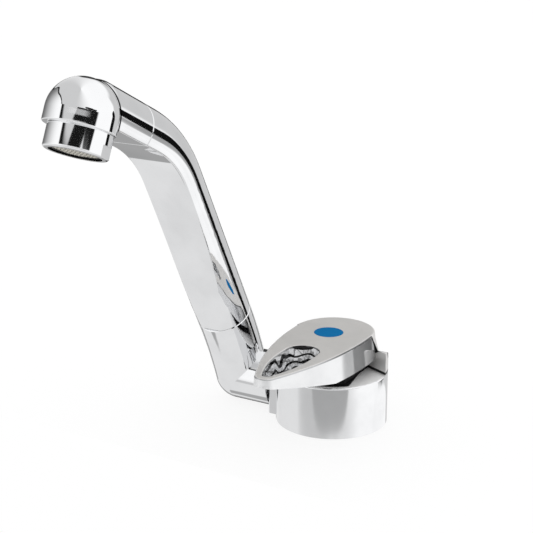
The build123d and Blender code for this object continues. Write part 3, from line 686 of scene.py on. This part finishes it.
def cardMask(tree, azimuth, height, corner, turn, rise, halfWidth, halfHeight, tilt, softness):
    along, across = cos(radians(tilt)), sin(radians(tilt))
    dx = mathNode(tree, "SUBTRACT", azimuth, turn)
    dy = mathNode(tree, "SUBTRACT", height, rise)
    u = mathNode(tree, "ADD", product(tree, dx, along / halfWidth), product(tree, dy, across / halfWidth))
    v = mathNode(tree, "SUBTRACT", product(tree, dy, along / halfHeight), product(tree, dx, across / halfHeight))
    reach = mathNode(tree, "ADD", mathNode(tree, "POWER", mathNode(tree, "ABSOLUTE", u), corner),
                     mathNode(tree, "POWER", mathNode(tree, "ABSOLUTE", v), corner))
    return stepDown(tree, reach, 1.0, softness)


def aboveSeam(tree, azimuth, height, points):
    curve = tree.nodes.new("ShaderNodeFloatCurve")
    line = curve.mapping.curves[0]
    for index, (turn, rise) in enumerate(points):
        place = ((turn + 180.0) / 360.0, rise / 90.0)
        if index < 2:
            line.points[index].location = place
        else:
            line.points.new(*place)
    curve.mapping.update()
    tree.links.new(mapRange(tree, azimuth, -180.0, 180.0, 0.0, 1.0, "LINEAR"), curve.inputs["Value"])
    return mathNode(tree, "SUBTRACT", height, product(tree, curve.outputs["Value"], 90.0))


def mirroredLevel(tree, azimuth, height, settings):
    above = aboveSeam(tree, azimuth, height, settings["seam"])
    onWall = product(tree, mapRange(tree, height, *settings["wallFoot"], 0.0, 1.0),
                     mapRange(tree, azimuth, *settings["wallEnd"], 1.0, 0.0))
    wall = mapRange(tree, azimuth, *settings["wallTurn"], *settings["wall"])
    level = blendLevel(tree, onWall, settings["below"], wall)
    right = product(tree, mapRange(tree, azimuth, *settings["rightTurn"], 0.0, 1.0),
                    mapRange(tree, height, *settings["rightFoot"], 0.0, 1.0))
    level = blendLevel(tree, right, level, settings["rightWall"])
    skyLeft, skyRight = settings["sky"]
    sky = mathNode(tree, "MAXIMUM", mapRange(tree, azimuth, *settings["skyFront"], skyLeft, skyRight),
                   mapRange(tree, azimuth, *settings["skyBack"], skyRight, skyLeft))
    level = blendLevel(tree, stepUp(tree, above, 0.0, 0.4), level, sky)
    around = mathNode(tree, "ABSOLUTE", azimuth)
    behind = product(tree, mapRange(tree, around, *settings["backTurn"], 0.0, 1.0),
                     mapRange(tree, height, *settings["backTop"], 1.0, 0.0))
    level = blendLevel(tree, behind, level, settings["backWall"])
    for cards, upward in ((settings["cards"], height), (settings["seamCards"], above)):
        for name, *place, cardLevel in cards:
            mask = cardMask(tree, azimuth, upward, settings["cardCorner"], *place)
            mask.node.label = name
            level = blendLevel(tree, mask, level, cardLevel)
    seam = product(tree, mapRange(tree, mathNode(tree, "ABSOLUTE", above), *settings["seamWidth"], 1.0, 0.0),
                   mapRange(tree, azimuth, *settings["seamEnd"], 1.0, 0.0))
    return blendLevel(tree, seam, level, settings["seamLevel"])


def makeWorld(settings):
    world = bpy.data.worlds.new("surroundings")
    bpy.context.scene.world = world
    world.use_nodes = True
    tree = world.node_tree
    tree.nodes.clear()
    coords = tree.nodes.new("ShaderNodeTexCoord")
    split = tree.nodes.new("ShaderNodeSeparateXYZ")
    tree.links.new(coords.outputs["Generated"], split.inputs["Vector"])
    x, y, z = split.outputs
    azimuth = mathNode(tree, "DEGREES", mathNode(tree, "ARCTAN2", x, product(tree, y, -1.0)))
    height = mathNode(tree, "DEGREES", mathNode(tree, "ARCSINE", z))

    lit, mirrored, seen = (tree.nodes.new("ShaderNodeBackground") for _ in range(3))
    lit.inputs["Color"].default_value = (1.0, 1.0, 1.0, 1.0)
    lit.inputs["Strength"].default_value = settings["soft"]
    tree.links.new(mirroredLevel(tree, azimuth, height, settings), mirrored.inputs["Color"])
    seen.inputs["Color"].default_value = (*settings["camera"], 1.0)
    path = tree.nodes.new("ShaderNodeLightPath")
    seenDirectly = mathNode(tree, "MAXIMUM", path.outputs["Is Camera Ray"], path.outputs["Is Transmission Ray"])
    shown = lit.outputs["Background"]
    for factor, background in ((path.outputs["Is Glossy Ray"], mirrored), (seenDirectly, seen)):
        mix = tree.nodes.new("ShaderNodeMixShader")
        tree.links.new(factor, mix.inputs["Fac"])
        tree.links.new(shown, mix.inputs[1])
        tree.links.new(background.outputs["Background"], mix.inputs[2])
        shown = mix.outputs["Shader"]
    out = tree.nodes.new("ShaderNodeOutputWorld")
    tree.links.new(shown, out.inputs["Surface"])


makeFloor(stage)
makeWorld(surroundings)
print("stage and surroundings ready")

scene = bpy.context.scene
scene.view_settings.view_transform = "Standard"
